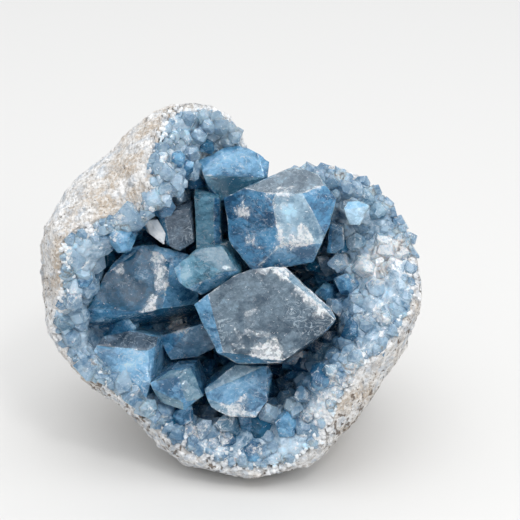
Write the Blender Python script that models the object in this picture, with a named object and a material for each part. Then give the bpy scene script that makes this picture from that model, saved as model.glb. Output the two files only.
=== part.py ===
"""A celestite geode: a rock nodule broken open, and the blue crystals that fill its hollow.

The mouth frame has u to the right and v up, across the mouth, and w out of the mouth. The room
frame stands the geode on z = 0 with its mouth facing -y and tipped up. Sizes are in millimetres
until a mesh is made, and meshes are in metres. The crystals' faces are laid out as they look to
an eye straight in front of the mouth.
"""

import math

import bmesh
import bpy
import numpy as np
from mathutils import Vector
from mathutils.bvhtree import BVHTree

MM = 0.001
QUARTER = math.pi / 2

# The whole stone
MOUTH_TILT = math.radians(25)  # how far the mouth's axis is tipped up from level
EYE = (14.0, 17.5, 720.0)  # where the eye stands in the mouth frame
SEAT_LIFT = 83.0  # from the flat spot up to the mouth's centre
STAND_RIGHT, STAND_BACK = 0.5, -18.0  # centre the stone's box on the room's origin

# The rock's outline round the mouth, every 15 degrees from the right, anticlockwise
OUTLINE = (97, 96.5, 92, 87, 77, 61, 87, 98, 99.5, 91.5, 95, 99.5,
           94, 90.5, 84, 78, 80.5, 86.5, 88.5, 90.5, 93.5, 87, 83.5, 92)
# How far the skin curls over from the back, in degrees: 90 is the widest ring
CURL = (112, 100, 92, 88, 84, 76, 84, 94, 138, 143, 134, 129,
        120, 108, 112, 111, 107, 107, 108, 109, 117, 127, 125, 120)
BACK_RADIUS, BACK_DEPTH, FRONT_DEPTH = 92.0, 84.0, 50.0
FULLNESS = 0.74
RIM_THICKNESS = 4.5
LUMP_SIZE, LUMP_HEIGHT, LUMP_SEED = 62.0, 1.7, 5

# The hollow: how far its edge is from the mouth's axis, and how far its wall runs back under it
HOLLOW_EDGE = (58, 59, 60, 58, 52, 44, 56, 64, 56, 55, 60, 66,
               70, 76, 74, 67, 67, 67, 65, 62, 62, 58, 59, 58)
UNDERCUT = (0, 0, 0, 0, 0, 0, 0, 0.05, 0.25, 0.3, 0.22, 0.12,
            0.04, 0, 0, 0, 0, 0, 0, 0, 0, 0, 0, 0)
HOLLOW_FLOOR = -34.0
CRUST_THICKNESS = 10.0
BAND_SLOPE = 0.32  # how fast the band falls from the skin's edge to the hollow's edge
BAND_CROWN = 3.0
CRUST_GAP = 0.8  # between the crust's back and the rock
CRYSTAL_GAP = 0.4  # between a crystal's root and the rock

# Great crystals. face: corners as seen; height: w of the face's middle; lean: how w changes along
# u and v; root: from the face's middle to the root's middle; spread: the root's size by the face's
GREAT_CRYSTALS = {
    "tall_block": dict(
        face=((-7, 47.5), (15, 47), (29, 41), (43, 26), (44.5, 19.5), (35, 14.5),
              (22, 14.5), (11, 9), (7, 12.5), (-3.5, 26)),
        height=27, lean=(0.0, 0.3), root=(6, 12, -48), spread=0.95),
    "tall_block_side": dict(
        face=((32, 45.5), (39.5, 50), (45.5, 52), (53, 44), (44, 34), (43.5, 26)),
        height=29, lean=(-0.3, 0.1), root=(5, 6, -46), spread=1.0),
    "tall_block_bridge": dict(
        face=((11.5, 46), (21.5, 49), (31, 49), (35, 35.5), (43, 26), (36.5, 27.5), (25, 36)),
        height=31, lean=(0.0, -0.3), root=(4, 8, -40), spread=0.9),
    "grey_slab": dict(
        face=((-19.5, -4), (0, 11), (10, 13), (21.5, 15), (34, 10), (45, 1), (52, -13.5),
              (45, -19), (32.5, -28.5), (21.5, -33.5), (4, -33.5), (-8, -29), (-15, -15)),
        height=33, lean=(0.0, -0.12), root=(3, -7, -55), spread=0.9),
    "left_slab": dict(
        face=((-69, 6.5), (-50.5, 23), (-39, 26), (-26, 21), (-23, 5), (-17.5, -2),
              (-20, -6.5), (-34.5, -6), (-60.5, -11.5), (-72.5, -15.5), (-79, -10)),
        height=9, lean=(-0.22, -0.08), root=(2, -8, -38), spread=0.95),
    "left_low_fan": dict(
        face=((-68.5, -25), (-63, -18), (-48, -17), (-37.5, -21), (-38, -32), (-40, -43),
              (-43.5, -52.5), (-56, -45), (-66, -36), (-71, -31.5)),
        height=13, lean=(0.0, -0.3), root=(6, 2, -34), spread=0.9),
    "deep_block": dict(
        face=((-37.5, -21.5), (-26, -17.5), (-12.5, -13.5), (-7.5, -26), (-17.5, -31), (-30.5, -32.5)),
        height=-2, lean=(0.1, 0.2), root=(0, 2, -28), spread=1.0),
    "low_gem": dict(
        face=((-41.5, -45), (-32.5, -37.5), (-21, -37), (-15, -50), (-23.5, -59), (-35, -55)),
        height=23, lean=(0.15, -0.1), root=(3, 3, -34), spread=1.0),
    "low_block": dict(
        face=((-16, -48), (-10, -43), (1.5, -35.5), (9.5, -33.5), (20, -35.5), (20.5, -45),
              (18, -58.5), (9, -62.5), (-2, -60.5), (-10, -54)),
        height=21, lean=(0.05, -0.25), root=(0, 3, -38), spread=0.95),
    "middle_gem": dict(
        face=((-29.5, 10.5), (-20.5, 21.5), (-5.5, 24), (5.5, 12.5), (-1, 8), (-16.5, -2), (-27, 5)),
        height=22, lean=(0.1, 0.0), root=(7, 6, -46), spread=1.0),
    "grey_prism": dict(
        face=((-35, 38), (-20, 44.5), (-18.5, 23.5), (-25, 20), (-34, 25)),
        height=6, lean=(-0.1, 0.1), root=(2, 8, -34), spread=1.1),
    "teal_prism": dict(
        face=((-19, 49.5), (-7.5, 49), (-3.5, 25.5), (-18, 23)),
        height=3, lean=(0.1, 0.15), root=(0, 9, -34), spread=1.1),
    "pale_chip": dict(
        face=((-44, 36.5), (-36.5, 37), (-33, 30.5), (-34, 25.5), (-39, 28)),
        height=17, lean=(0.0, -0.3), root=(-4, 2, -34), spread=1.2),
    "notch_gem": dict(
        face=((-17, 68.5), (-1, 75.5), (9, 73), (19.5, 68), (17.5, 58.5), (11.5, 55.5),
              (-2.5, 50), (-12.5, 58)),
        height=1, lean=(0.0, -0.2), root=(0, -9, -34), spread=0.9),
    "right_gem": dict(
        face=((56, 45), (68.5, 45), (63, 35.5), (60, 34), (56.5, 38)),
        height=22, lean=(0.0, -0.2), root=(2, 2, -30), spread=1.0),
    "right_shade_block": dict(
        face=((50, 36), (54.5, 36), (56, 32), (55.5, 25), (51.5, 23.5), (47, 20.5), (48, 26.5)),
        height=12, lean=(0.0, 0.2), root=(2, 2, -34), spread=1.1),
}

# Smaller crystals that can be told apart: u and v as seen, radius, and height above the crust
KNOBS = (
    (-56, 31, 8.0, 10), (-64, 17, 6.0, 8), (-79, -3, 6.5, 8), (-76, 6, 5.0, 6), (-86, -16, 6.0, 5),
    (-22, 86, 6.0, 8), (-14, 91, 6.0, 7), (-6, 89, 5.5, 7), (-1, 83, 6.5, 9), (-6, 77, 6.0, 9),
    (-13, 82, 6.0, 8), (-24, 76, 5.5, 8), (-24, 66, 5.5, 9), (-30, 58, 5.5, 7), (-17, 60, 5.0, 8),
    (48, 58, 6.5, 9), (57, 54, 6.0, 8), (65, 57, 6.0, 7), (64, 49, 5.5, 8), (75, 45, 6.5, 6),
    (60, 24, 5.5, 9), (56, 14, 6.0, 10), (66, 15, 6.5, 8), (75, 14, 6.0, 6), (71, 3, 6.5, 7),
    (62, -19, 6.5, 9), (52, -29, 5.0, 8), (43, -40, 6.5, 9), (33, -54, 5.5, 8), (27, -64, 7.5, 9),
    (14, -66, 6.0, 7), (38, -60, 5.0, 6), (74, -13, 5.5, 6), (-14, -33, 6.0, 12), (-2, -74, 7.0, 5),
    (-33, -66, 7.0, 5), (12, -84, 6.5, 4), (24, 76 - 16, 6.0, 6), (-46, -64, 5.5, 4),
)

# Crystals scattered over the crust: how many, how far apart, and radius, on the wall and on the band
WALL_SCATTER = dict(count=40, apart=13.0, radius=(4.5, 7.5), tall=1.5, rise=(0.05, 0.95), seed=11)
BAND_SCATTER = dict(count=48, apart=11.0, radius=(3.0, 5.0), tall=1.1, share=(0.25, 1.0), seed=23)

# How finely the rock and the crust are cut: round the mouth, and up the rock's inner wall
AROUND = 48
SEAT_RISES = (0.2, 0.4, 0.56, 0.72, 0.86, 1.0)


def round_mouth(values, angle):
    """A smooth closed curve through values at equal steps round the mouth (Catmull-Rom)."""
    values = np.asarray(values, float)
    place = np.mod(angle / (2 * math.pi), 1.0) * len(values)
    low = np.floor(place).astype(int)
    t = place - low
    a, b, c, d = (values[(low + k) % len(values)] for k in (-1, 0, 1, 2))
    return b + 0.5 * t * (c - a + t * (2 * a - 5 * b + 4 * c - d + t * (3 * (b - c) + d - a)))


def smooth(t):
    """0 below 0, 1 above 1, and an easy slope between."""
    t = np.clip(t, 0.0, 1.0)
    return t * t * (3 - 2 * t)


def lumps(points, size, height, seed):
    """Rolling unevenness: plane waves of about one length, each with its own direction."""
    random = np.random.RandomState(seed)
    total = np.zeros(points.shape[:-1])
    for _ in range(9):
        direction = random.normal(size=3)
        direction /= np.linalg.norm(direction)
        wave = 2 * math.pi / (size * random.uniform(0.7, 1.4))
        total += np.sin(points @ direction * wave + random.uniform(0, 2 * math.pi))
    return height * total / 2


def polar(out, angle, along):
    """Points from their distance out from the mouth's axis, angle round it, and w."""
    return np.stack([out * np.cos(angle), out * np.sin(angle), along + 0 * angle], -1)


def skin(angle, curl):
    """The nodule's outside: an ellipsoid of the outline's radius, deep behind, shallow in front."""
    shape = smooth(curl / math.radians(80))
    radius = BACK_RADIUS + (round_mouth(OUTLINE, angle) - BACK_RADIUS) * shape
    depth = np.where(curl < QUARTER, BACK_DEPTH, FRONT_DEPTH)
    points = polar(radius * np.sin(curl) ** FULLNESS, angle, -depth * np.cos(curl))
    outward = points / np.linalg.norm(points, axis=-1, keepdims=True)
    return points + outward * lumps(points, LUMP_SIZE, LUMP_HEIGHT, LUMP_SEED)[..., None]


def skin_edge(angle):
    """Where the skin ends at the mouth: distance out from the axis, and w."""
    points = skin(angle, np.radians(round_mouth(CURL, angle)))
    return np.hypot(points[..., 0], points[..., 1]), points[..., 2]


def seat_edge(angle):
    """The inner edge of the rock's broken rim."""
    out, along = skin_edge(angle)
    curl = np.radians(round_mouth(CURL, angle))
    return out - RIM_THICKNESS * np.sin(curl), along + RIM_THICKNESS * np.cos(curl) / 2


def hollow_edge(angle):
    """Where the crust's band turns down into the hollow."""
    seat_out, seat_along = seat_edge(angle)
    out = np.minimum(round_mouth(HOLLOW_EDGE, angle), seat_out - 3)
    return out, seat_along - BAND_SLOPE * (seat_out - out)


def hollow_profile(angle, rise):
    """The hollow's wall, from the middle of its floor (rise 0) to its edge (rise 1): out, and w."""
    out, along = hollow_edge(angle)
    turn = rise * QUARTER
    under = 1 + round_mouth(UNDERCUT, angle) * np.sin(rise * math.pi)
    return out * np.sin(turn) ** 0.8 * under, HOLLOW_FLOOR + (along - HOLLOW_FLOOR) * (1 - np.cos(turn))


def hollow(angle, rise):
    """Points of the hollow's wall."""
    out, along = hollow_profile(angle, rise)
    return polar(out, angle, along)


def seat_profile(angle, rise):
    """The rock's inner wall under the crust: it leaves the hollow's edge and meets the rock's rim."""
    turn = rise * QUARTER
    lining = (1 - rise**3) * CRUST_THICKNESS
    out, along = hollow_profile(angle, rise) + np.subtract(seat_edge(angle), hollow_edge(angle)) * rise**3
    return np.stack([out + lining * np.sin(turn), along - lining * np.cos(turn)])


def seat(angle, rise, gap):
    """Points at a gap in front of the rock's inner wall."""
    out, along = seat_profile(angle, rise)
    run, climb = seat_profile(angle, min(rise + 0.02, 1)) - seat_profile(angle, max(rise - 0.02, 0))
    slope = np.hypot(run, climb)
    return polar(out - gap * climb / slope, angle, along + gap * run / slope)


def band(angle, share):
    """The crust's broken face, from the skin's edge (share 0) to the hollow's edge (share 1)."""
    start, end = seat(angle, 1.0, CRUST_GAP), hollow(angle, 1.0)
    points = start + (end - start) * share
    points[..., 2] += BAND_CROWN * np.sin(math.pi * share**0.6)
    return points


def in_room(points):
    """Mouth frame in millimetres to room frame in metres, with nothing below the floor."""
    u, v, w = points[..., 0], points[..., 1], points[..., 2]
    x = u + STAND_RIGHT
    y = v * math.sin(MOUTH_TILT) - w * math.cos(MOUTH_TILT) + STAND_BACK
    z = v * math.cos(MOUTH_TILT) + w * math.sin(MOUTH_TILT) + SEAT_LIFT
    return np.stack([x, y, np.maximum(z, 0)], -1) * MM


def seen_on_plane(corners, point, normal):
    """The points of a plane that the eye sees at the corners' u and v."""
    eye = np.array(EYE)
    sight = np.insert(np.asarray(corners, float), 2, 0, axis=-1) - eye
    return eye + sight * ((point - eye) @ normal / (sight @ normal))[..., None]


def loft(name, rings, collection, twisted=False):
    """A closed surface through rings of points. A ring of one point is a tip, and an end is capped."""
    starts = np.cumsum([0] + [len(ring) for ring in rings[:-1]]).tolist()
    numbers = [[start + k for k in range(len(ring))] for start, ring in zip(starts, rings)]
    faces = []
    for here, there in zip(numbers, numbers[1:]):
        for k in range(max(len(here), len(there))):
            corners = (here[k % len(here)], here[(k + 1) % len(here)],
                       there[(k + 1) % len(there)], there[k % len(there)])
            faces.append(list(dict.fromkeys(corners)))
    faces += [ends for ends in (numbers[0][::-1], numbers[-1]) if len(ends) > 2]
    mesh = bpy.data.meshes.new(name)
    mesh.from_pydata(in_room(np.concatenate(rings)).tolist(), [], faces)
    work = bmesh.new()
    work.from_mesh(mesh)
    if twisted:
        bmesh.ops.triangulate(work, faces=work.faces, quad_method="FIXED")
    bmesh.ops.recalc_face_normals(work, faces=work.faces)
    work.to_mesh(mesh)
    work.free()
    thing = bpy.data.objects.new(name, mesh)
    collection.objects.link(thing)
    return thing


def turns():
    """The angles round the mouth at which every loft is cut."""
    return np.arange(AROUND) * 2 * math.pi / AROUND


def rock_shell(collection):
    """The rock: the wall under the crust, the broken rim, and its skin to the middle of the back."""
    angle = turns()
    reach = np.radians(round_mouth(CURL, angle))
    rings = [seat(angle, rise, 0) for rise in SEAT_RISES]
    rings += [skin(angle, reach * share) for share in np.linspace(1, 0, 15)[:-1]]
    rings += [skin(angle[:1], 0 * reach[:1])]
    return loft("rock_shell", [seat(angle[:1], 0.0, 0)] + rings, collection, twisted=True)


def crust_lining(collection):
    """The crust's own body: its back against the rock, its broken face and the hollow's wall."""
    angle = turns()
    rings = [seat(angle[:1], 0.0, CRUST_GAP)]
    rings += [seat(angle, rise, CRUST_GAP) for rise in SEAT_RISES]
    rings += [band(angle, share) for share in (0.15, 0.5)]
    rings += [hollow(angle, rise) for rise in (1.0, 0.85, 0.65, 0.45, 0.25)]
    rings += [hollow(angle[:1], 0.0)]
    return loft("crystal_crust", rings, collection, twisted=True)


def room_for_crust(collection):
    """Everything in front of the rock's inner wall, and clear of its rim: the crust stays in it."""
    angle = turns()
    rim_out, rim_along = skin_edge(angle)
    seat_out, seat_along = seat_edge(angle)
    rim_along = np.maximum(rim_along, seat_along)
    rings = [seat(angle[:1], 0.0, CRYSTAL_GAP)]
    rings += [seat(angle, rise, CRYSTAL_GAP) for rise in SEAT_RISES]
    rings += [polar(seat_out - CRYSTAL_GAP, angle, rim_along + CRYSTAL_GAP)]
    rings += [polar(rim_out + 6, angle, rim_along + 5)]
    rings += [polar(rim_out + 12, angle, 0 * rim_along + 90)]
    return loft("room_for_crust", rings, collection, twisted=True)


def great_crystal(name, face, height, lean, root, spread, collection):
    """A crystal with a flat face of any outline, and flat sides that run back to its root."""
    upright = np.array([0, 0, 1])
    middle = seen_on_plane(np.mean(face, axis=0), height * upright, upright)
    front = seen_on_plane(face, middle, np.array([-lean[0], -lean[1], 1]))
    centre = front.mean(axis=0)
    back = centre + np.array(root) + (front - centre) * spread
    return loft(name, [front, back], collection)


def small_crystal(name, foot, axis, radius, tall, random, collection):
    """A stubby crystal: a prism of five or six sides, rooted below its foot, with a blunt tip."""
    axis = axis / np.linalg.norm(axis)
    across = np.cross(axis, random.normal(size=3))
    across /= np.linalg.norm(across)
    beside = np.cross(axis, across)
    sides = random.choice([5, 6])
    angle = (np.arange(sides) + random.uniform(-0.2, 0.2, sides)) * 2 * math.pi / sides
    ring = (np.cos(angle)[:, None] * across + np.sin(angle)[:, None] * beside * random.uniform(0.7, 1)) * radius
    tip_shift = (across * random.uniform(-0.3, 0.3) + beside * random.uniform(-0.3, 0.3)) * radius
    rings = [foot - axis * radius * 0.8 + ring * 0.8,
             foot + axis * tall * 0.6 + ring,
             foot + axis * tall + tip_shift + ring * 0.5]
    return loft(name, rings, collection)


def in_mouth_frame(point):
    """Room frame in metres back to the mouth frame in millimetres."""
    x, y, z = np.array(point) / MM - (STAND_RIGHT, STAND_BACK, SEAT_LIFT)
    v = y * math.sin(MOUTH_TILT) + z * math.cos(MOUTH_TILT)
    w = z * math.sin(MOUTH_TILT) - y * math.cos(MOUTH_TILT)
    return np.array([x, v, w])


def knobs(lining, collection):
    """The smaller crystals that can be told apart, each on the crust where the eye sees it, or on
    the crust's edge if it hangs over that.
    """
    random = np.random.RandomState(3)
    tree = BVHTree.FromPolygons([v.co for v in lining.data.vertices],
                                [p.vertices for p in lining.data.polygons])
    eye = Vector(in_room(np.array(EYE)))
    for number, (u, v, radius, tall) in enumerate(KNOBS):
        for inward in np.arange(1.0, 0.5, -0.03):
            sight = Vector(in_room(np.array([u * inward, v * inward, 0.0]))) - eye
            place, normal, _, _ = tree.ray_cast(eye, sight.normalized())
            if place:
                break
        foot = in_mouth_frame(place)
        outward = in_mouth_frame(place + normal * MM) - foot
        axis = outward + (0, 0, 0.7) + random.uniform(-0.25, 0.25, 3)
        small_crystal(f"knob_{number}", foot, axis, radius, tall, random, collection)


def scatter(name, surface, low, high, count, apart, radius, tall, seed, collection):
    """Small crystals spread over a surface of angle and share, standing off it, none too close."""
    random = np.random.RandomState(seed)
    placed = []
    for _ in range(count * 6):
        angle, share = random.uniform(0, 2 * math.pi), math.sqrt(random.uniform(low**2, high**2))
        around = np.array([angle, angle + 0.02, angle])
        along = np.array([share, share, share + 0.02])
        foot, beside, further = surface(around, along)
        if any(np.linalg.norm(foot - other) < apart for other in placed) or len(placed) >= count:
            continue
        placed.append(foot)
        outward = np.cross(beside - foot, further - foot)
        outward *= np.sign(outward @ (np.array([0, 0, 40.0]) - foot)) / np.linalg.norm(outward)
        size = random.uniform(*radius)
        axis = outward + random.uniform(-0.3, 0.3, 3)
        small_crystal(f"{name}_{len(placed)}", foot, axis, size, size * tall, random, collection)


def cut_with(thing, operation, tool):
    """A Boolean modifier on thing, with an object or a whole collection as its tool."""
    change = thing.modifiers.new(operation.lower(), "BOOLEAN")
    change.operation = operation
    if isinstance(tool, bpy.types.Collection):
        change.operand_type = "COLLECTION"
        change.collection = tool
    else:
        change.object = tool


def largest_body(thing):
    """Thing with its modifiers applied, and without chips that touch nothing."""
    mesh = bpy.data.meshes.new_from_object(thing.evaluated_get(bpy.context.evaluated_depsgraph_get()))
    thing.modifiers.clear()
    work = bmesh.new()
    work.from_mesh(mesh)
    unseen, bodies = set(work.verts), []
    while unseen:
        body, edge = set(), [unseen.pop()]
        while edge:
            vertex = edge.pop()
            body.add(vertex)
            edge += [n for e in vertex.link_edges for n in e.verts if n in unseen]
            unseen.difference_update(edge)
        bodies.append(body)
    bodies.sort(key=len)
    bmesh.ops.delete(work, geom=[v for body in bodies[:-1] for v in body], context="VERTS")
    work.to_mesh(mesh)
    work.free()
    thing.data = mesh


def finish(thing, colour, roughness):
    """Gives thing a plain material of its own, and flat faces."""
    material = bpy.data.materials.new(thing.name)
    material.use_nodes = True
    shader = material.node_tree.nodes["Principled BSDF"]
    shader.inputs["Base Color"].default_value = (*colour, 1)
    shader.inputs["Roughness"].default_value = roughness
    shader.inputs["Metallic"].default_value = 0.0
    thing.data.materials.clear()
    thing.data.materials.append(material)
    thing.data.shade_flat()


def new_collection(name):
    collection = bpy.data.collections.new(name)
    bpy.context.scene.collection.children.link(collection)
    return collection


def build():
    for thing in list(bpy.data.objects):
        bpy.data.objects.remove(thing)
    geode, tools, crystals = (new_collection(n) for n in ("celestite_geode", "tools", "crystals"))
    shell = rock_shell(geode)
    crust = crust_lining(geode)
    for name, shape in GREAT_CRYSTALS.items():
        great_crystal(name, **shape, collection=crystals)
    knobs(crust, crystals)
    wall, edge = dict(WALL_SCATTER), dict(BAND_SCATTER)
    scatter("wall_crystal", hollow, *wall.pop("rise"), **wall, collection=crystals)
    scatter("band_crystal", band, *edge.pop("share"), **edge, collection=crystals)
    cut_with(crust, "UNION", crystals)
    cut_with(crust, "INTERSECT", room_for_crust(tools))
    bpy.context.view_layer.update()
    largest_body(crust)
    for thing in list(crystals.objects) + list(tools.objects):
        thing.hide_render = True
        thing.display_type = "WIRE"
    finish(shell, (0.72, 0.66, 0.58), 0.9)
    finish(crust, (0.32, 0.47, 0.62), 0.35)


build()
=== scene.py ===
"""The looks of a celestite geode: a broken-open rock nodule whose hollow is full of blue crystals.

The mouth frame has u to the right and v up, across the mouth, and w out of the mouth, all in
millimetres. The room frame, in metres, is the CAD model's.
"""

import itertools
import math

import bpy
import numpy as np
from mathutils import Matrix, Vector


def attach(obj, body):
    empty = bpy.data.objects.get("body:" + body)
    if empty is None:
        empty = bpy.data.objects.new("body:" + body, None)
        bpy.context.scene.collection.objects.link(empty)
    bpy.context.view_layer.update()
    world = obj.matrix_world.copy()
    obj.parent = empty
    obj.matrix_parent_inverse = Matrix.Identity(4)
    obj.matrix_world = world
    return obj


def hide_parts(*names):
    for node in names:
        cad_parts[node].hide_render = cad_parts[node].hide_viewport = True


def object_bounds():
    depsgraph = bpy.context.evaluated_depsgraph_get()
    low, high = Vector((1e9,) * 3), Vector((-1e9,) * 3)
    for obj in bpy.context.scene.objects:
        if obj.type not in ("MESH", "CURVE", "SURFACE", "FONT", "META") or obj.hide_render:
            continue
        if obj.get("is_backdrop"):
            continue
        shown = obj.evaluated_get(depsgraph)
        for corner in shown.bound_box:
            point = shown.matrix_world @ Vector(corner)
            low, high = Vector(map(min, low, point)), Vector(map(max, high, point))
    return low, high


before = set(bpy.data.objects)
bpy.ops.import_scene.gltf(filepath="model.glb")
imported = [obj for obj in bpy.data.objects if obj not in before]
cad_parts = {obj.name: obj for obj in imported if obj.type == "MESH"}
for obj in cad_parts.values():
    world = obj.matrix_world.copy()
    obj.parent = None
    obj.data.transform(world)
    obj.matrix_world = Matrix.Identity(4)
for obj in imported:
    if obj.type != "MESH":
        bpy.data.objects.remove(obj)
cad_low, cad_high = (np.array(corner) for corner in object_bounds())


# The rock: a nodule of pale, gritty limestone, rounded behind and broken open in front. It grew as
# one lump, and its broken rim is a few millimetres thick.
MM = 0.001
QUARTER = math.pi / 2
MOUTH_TILT = math.radians(25)
SEAT_LIFT = 83.0
STAND_RIGHT, STAND_BACK = 0.5, -18.0
OUTLINE = (97, 96.5, 92, 87, 77, 61, 87, 98, 99.5, 91.5, 95, 99.5,
           94, 90.5, 84, 78, 80.5, 86.5, 88.5, 90.5, 93.5, 87, 83.5, 92)
CURL = (112, 100, 92, 88, 84, 76, 84, 94, 138, 143, 134, 129,
        120, 108, 112, 111, 107, 107, 108, 109, 117, 127, 125, 120)
BACK_RADIUS, BACK_DEPTH, FRONT_DEPTH = 92.0, 84.0, 50.0
FULLNESS = 0.74
RIM_THICKNESS = 4.5
LUMP_SIZE, LUMP_HEIGHT, LUMP_SEED = 62.0, 1.7, 5
HOLLOW_EDGE = (58, 59, 60, 58, 52, 44, 56, 64, 56, 55, 60, 66,
               70, 76, 74, 67, 67, 67, 65, 62, 62, 58, 59, 58)
UNDERCUT = (0, 0, 0, 0, 0, 0, 0, 0.05, 0.25, 0.3, 0.22, 0.12,
            0.04, 0, 0, 0, 0, 0, 0, 0, 0, 0, 0, 0)
HOLLOW_FLOOR = -34.0
CRUST_THICKNESS = 10.0
BAND_SLOPE = 0.32
BAND_CROWN = 3.0
CRUST_GAP = 0.8
# Points round the rock, and its rows under the crust, on the broken rim and on the skin
ROCK_AROUND = 440
WALL_ROWS, RIM_ROWS, SKIN_ROWS = 16, 6, 192
# Where the stone is widest, its skin is drawn in by this much, so that the relief ends at the widest
# place, and further in from there the skin eases back over this reach
RELIEF, RELIEF_FADE = 1.7, 4.0
# A small step along a surface, for its slope
STEP = 0.02
EYE = np.array([14.0, 17.5, 720.0])
# Where the rind is stained tan, and where it is pitted and brown: u, v, reach and strength, as seen
TAN_SPOTS = (
    (-42, 66, 22, 1.0), (-30, 84, 13, 0.8), (-78, 30, 14, 0.9), (-86, 12, 12, 1.0), (-62, 48, 16, 0.8),
    (82, -28, 8, 0.7), (66, -48, 14, 1.0), (52, -66, 14, 0.9), (-74, -36, 12, 0.8), (90, -6, 8, 0.7),
    (68, -8, 5, 0.8), (60, -24, 6, 0.8), (10, -88, 8, 0.5),
)
DIRT_SPOTS = (
    (-79, -34, 7, 0.9), (-70, -45, 8, 1.0), (-46, -64, 9, 0.9), (-30, -76, 8, 0.9), (-10, -86, 10, 0.8),
    (20, -84, 9, 0.7), (48, -70, 9, 0.7), (68, -52, 9, 0.7), (-94, 0, 8, 0.6), (88, -20, 8, 0.8),
    (82, -38, 9, 0.6), (93, 2, 7, 0.6), (58, -64, 8, 0.8), (-60, -56, 8, 0.9),
)


def steps_round(count):
    """Angles at equal steps round the mouth."""
    return np.arange(count) * 2 * math.pi / count


def round_mouth(values, angle):
    """A smooth closed curve through values at equal steps round the mouth (Catmull-Rom)."""
    values = np.asarray(values, float)
    place = np.mod(angle / (2 * math.pi), 1.0) * len(values)
    low = np.floor(place).astype(int)
    t = place - low
    a, b, c, d = (values[(low + k) % len(values)] for k in (-1, 0, 1, 2))
    return b + 0.5 * t * (c - a + t * (2 * a - 5 * b + 4 * c - d + t * (3 * (b - c) + d - a)))


def smooth(t):
    """0 below 0, 1 above 1, and an easy slope between."""
    t = np.clip(t, 0.0, 1.0)
    return t * t * (3 - 2 * t)


def lumps(points, size, height, seed):
    """Rolling unevenness: plane waves of about one length, each with its own direction."""
    random = np.random.RandomState(seed)
    total = np.zeros(points.shape[:-1])
    for _ in range(9):
        direction = random.normal(size=3)
        direction /= np.linalg.norm(direction)
        wave = 2 * math.pi / (size * random.uniform(0.7, 1.4))
        total += np.sin(points @ direction * wave + random.uniform(0, 2 * math.pi))
    return height * total / 2


def polar(out, angle, along):
    """Points from their distance out from the mouth's axis, angle round it, and w."""
    return np.stack([out * np.cos(angle), out * np.sin(angle), along + 0 * angle], -1)


def unit(vectors):
    """The same directions, one long."""
    return vectors / np.linalg.norm(vectors, axis=-1, keepdims=True)


def skin(angle, curl):
    """The nodule's outside: an ellipsoid of the outline's radius, deep behind, shallow in front."""
    shape = smooth(curl / math.radians(80))
    radius = BACK_RADIUS + (round_mouth(OUTLINE, angle) - BACK_RADIUS) * shape
    depth = np.where(curl < QUARTER, BACK_DEPTH, FRONT_DEPTH)
    points = polar(radius * np.sin(curl) ** FULLNESS, angle, -depth * np.cos(curl))
    return points + unit(points) * lumps(points, LUMP_SIZE, LUMP_HEIGHT, LUMP_SEED)[..., None]


def skin_edge(angle):
    """Where the skin ends at the mouth: distance out from the axis, and w."""
    points = skin(angle, np.radians(round_mouth(CURL, angle)))
    return np.hypot(points[..., 0], points[..., 1]), points[..., 2]


def seat_edge(angle):
    """The inner edge of the rock's broken rim."""
    out, along = skin_edge(angle)
    curl = np.radians(round_mouth(CURL, angle))
    return out - RIM_THICKNESS * np.sin(curl), along + RIM_THICKNESS * np.cos(curl) / 2


def hollow_edge(angle):
    """Where the crust's band turns down into the hollow."""
    seat_out, seat_along = seat_edge(angle)
    out = np.minimum(round_mouth(HOLLOW_EDGE, angle), seat_out - 3)
    return out, seat_along - BAND_SLOPE * (seat_out - out)


def hollow_profile(angle, rise):
    """The hollow's wall, from the middle of its floor (rise 0) to its edge (rise 1): out, and w."""
    out, along = hollow_edge(angle)
    turn = rise * QUARTER
    under = 1 + round_mouth(UNDERCUT, angle) * np.sin(rise * math.pi)
    return out * np.sin(turn) ** 0.8 * under, HOLLOW_FLOOR + (along - HOLLOW_FLOOR) * (1 - np.cos(turn))


def hollow(angle, rise):
    """Points of the hollow's wall."""
    out, along = hollow_profile(angle, rise)
    return polar(out, angle, along)


def seat_profile(angle, rise):
    """The rock's inner wall under the crust: it leaves the hollow's edge and meets the rock's rim."""
    turn = rise * QUARTER
    lining = (1 - rise**3) * CRUST_THICKNESS
    out, along = hollow_profile(angle, rise) + np.subtract(seat_edge(angle), hollow_edge(angle)) * rise**3
    return np.stack([out + lining * np.sin(turn), along - lining * np.cos(turn)])


def seat(angle, rise, gap):
    """Points at a gap in front of the rock's inner wall."""
    out, along = seat_profile(angle, rise)
    above, below = np.minimum(rise + STEP, 1), np.maximum(rise - STEP, 0)
    run, climb = seat_profile(angle, above) - seat_profile(angle, below)
    slope = np.hypot(run, climb)
    return polar(out - gap * climb / slope, angle, along + gap * run / slope)


def in_room(points):
    """Mouth frame in millimetres to room frame in metres, with nothing below the floor."""
    u, v, w = points[..., 0], points[..., 1], points[..., 2]
    x = u + STAND_RIGHT
    y = v * math.sin(MOUTH_TILT) - w * math.cos(MOUTH_TILT) + STAND_BACK
    z = v * math.cos(MOUTH_TILT) + w * math.sin(MOUTH_TILT) + SEAT_LIFT
    return np.stack([x, y, np.maximum(z, 0)], -1) * MM


def spots(points, places):
    """How strongly soft round spots, placed by the u and v at which the eye sees them, cover points."""
    away = points - EYE
    seen = (EYE + away * (-EYE[2] / away[..., 2:]))[..., :2]
    total = np.zeros(len(points))
    for u, v, reach, strength in places:
        total += strength * np.exp(-np.sum((seen - (u, v)) ** 2, -1) / reach**2)
    return total


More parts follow.
